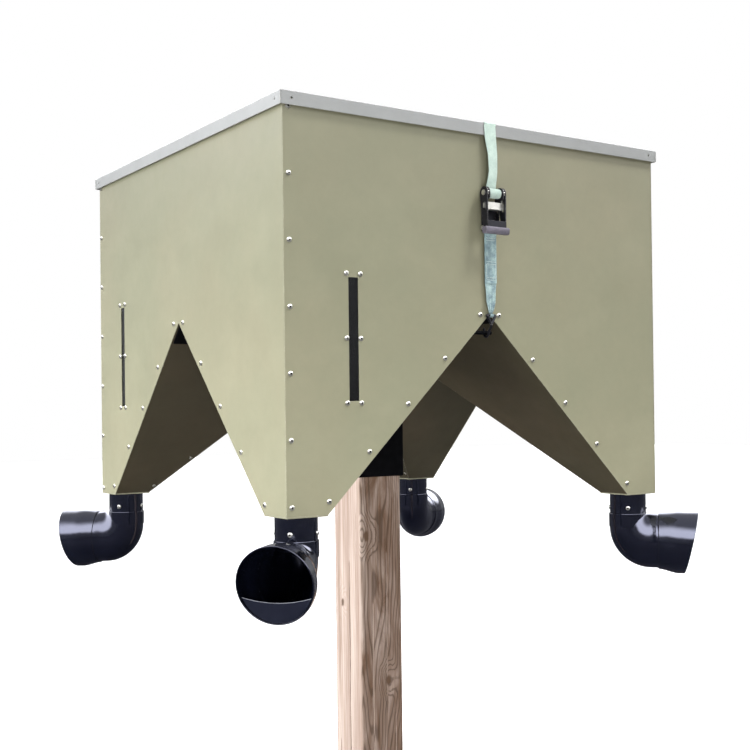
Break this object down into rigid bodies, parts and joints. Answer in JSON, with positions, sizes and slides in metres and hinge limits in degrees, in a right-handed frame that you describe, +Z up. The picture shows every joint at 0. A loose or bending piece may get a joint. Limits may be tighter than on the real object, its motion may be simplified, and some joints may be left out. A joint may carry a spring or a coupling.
{
  "type": "gravity game feeder",
  "caption": "Post-mounted sheet-metal gravity feeder for game: square hopper with folded floor and a feeding spout at each corner, lid held by a ratchet strap.",
  "frame": {"origin": "centre of the post's foot, at ground level", "axes": "+Z up the post, the wall with the ratchet faces -Y, and +X runs to the right of that wall"},
  "size_m": [1.4942, 1.4942, 2.0704],
  "materials": {
    "olive_paint": "satin olive paint on sheet steel",
    "grey_lid": "pale grey coating on sheet steel",
    "olive_paint_underside": "satin olive paint, shaded side",
    "clear_sheet": "clear plastic sheet",
    "black_steel": "black paint on steel",
    "black_ratchet": "black coated pressed steel",
    "black_pipe": "glossy black pipe plastic",
    "black_sheet": "black sheet plastic",
    "pine": "weathered sawn pine",
    "zinc": "zinc plated steel",
    "webbing": "pale green woven webbing"
  },
  "bodies": {
    "feeder": {"side_panel_front": "olive_paint", "sight_window_front": "clear_sheet", "floor_tent_front": "olive_paint_underside", "support_arm_front": "black_steel", "side_panel_right": "olive_paint", "sight_window_right": "clear_sheet", "floor_tent_right": "olive_paint_underside", "support_arm_right": "black_steel", "side_panel_back": "olive_paint", "sight_window_back": "clear_sheet", "floor_tent_back": "olive_paint_underside", "support_arm_back": "black_steel", "side_panel_left": "olive_paint", "sight_window_left": "clear_sheet", "floor_tent_left": "olive_paint_underside", "support_arm_left": "black_steel", "leg_outlet_front_left": "olive_paint", "spout_pipe_front_left": "black_pipe", "spout_elbow_front_left": "black_pipe", "spout_mouth_front_left": "black_pipe", "feed_dam_front_left": "black_sheet", "leg_outlet_front_right": "olive_paint", "spout_pipe_front_right": "black_pipe", "spout_elbow_front_right": "black_pipe", "spout_mouth_front_right": "black_pipe", "feed_dam_front_right": "black_sheet", "leg_outlet_back_right": "olive_paint", "spout_pipe_back_right": "black_pipe", "spout_elbow_back_right": "black_pipe", "spout_mouth_back_right": "black_pipe", "feed_dam_back_right": "black_sheet", "leg_outlet_back_left": "olive_paint", "spout_pipe_back_left": "black_pipe", "spout_elbow_back_left": "black_pipe", "spout_mouth_back_left": "black_pipe", "feed_dam_back_left": "black_sheet", "post": "pine", "post_sleeve": "black_steel", "lag_screw_right": "zinc", "lag_screw_back": "zinc", "strap_upper": "webbing", "strap_lower": "webbing", "strap_back": "webbing", "hook_front": "black_steel", "hook_back": "black_steel", "anchor_bolt": "zinc", "ratchet_frame": "black_ratchet"},
    "lid": {"lid": "grey_lid", "strap_over_lid": "webbing"},
    "handle": {"ratchet_handle": "black_ratchet"},
    "mandrel": {"ratchet_mandrel": "zinc", "webbing_roll": "webbing"},
    "drive_pawl": {"drive_pawl": "zinc"},
    "base_pawl": {"base_pawl": "zinc"}
  },
  "joints": [
    {"name": "lid_lift", "type": "slide", "parent": "feeder", "child": "lid", "axis": [0, 0, 1], "range_m": [0, 0.15]},
    {"name": "ratchet_handle_hinge", "type": "hinge", "parent": "feeder", "child": "handle", "pos_m": [0, -0.631, 1.872], "axis": [-1, 0, 0], "range_deg": [0, 170]},
    {"name": "mandrel_spin", "type": "hinge", "parent": "feeder", "child": "mandrel", "pos_m": [0, -0.631, 1.872], "axis": [-1, 0, 0], "continuous": true},
    {"name": "drive_pawl_slide", "type": "slide", "parent": "handle", "child": "drive_pawl", "axis": [0, 0, -1], "range_m": [0, 0.004], "stiffness_N_per_m": 600, "springref_m": -0.003},
    {"name": "base_pawl_slide", "type": "slide", "parent": "feeder", "child": "base_pawl", "axis": [0, 0, -1], "range_m": [0, 0.004], "stiffness_N_per_m": 600, "springref_m": -0.003}
  ]
}
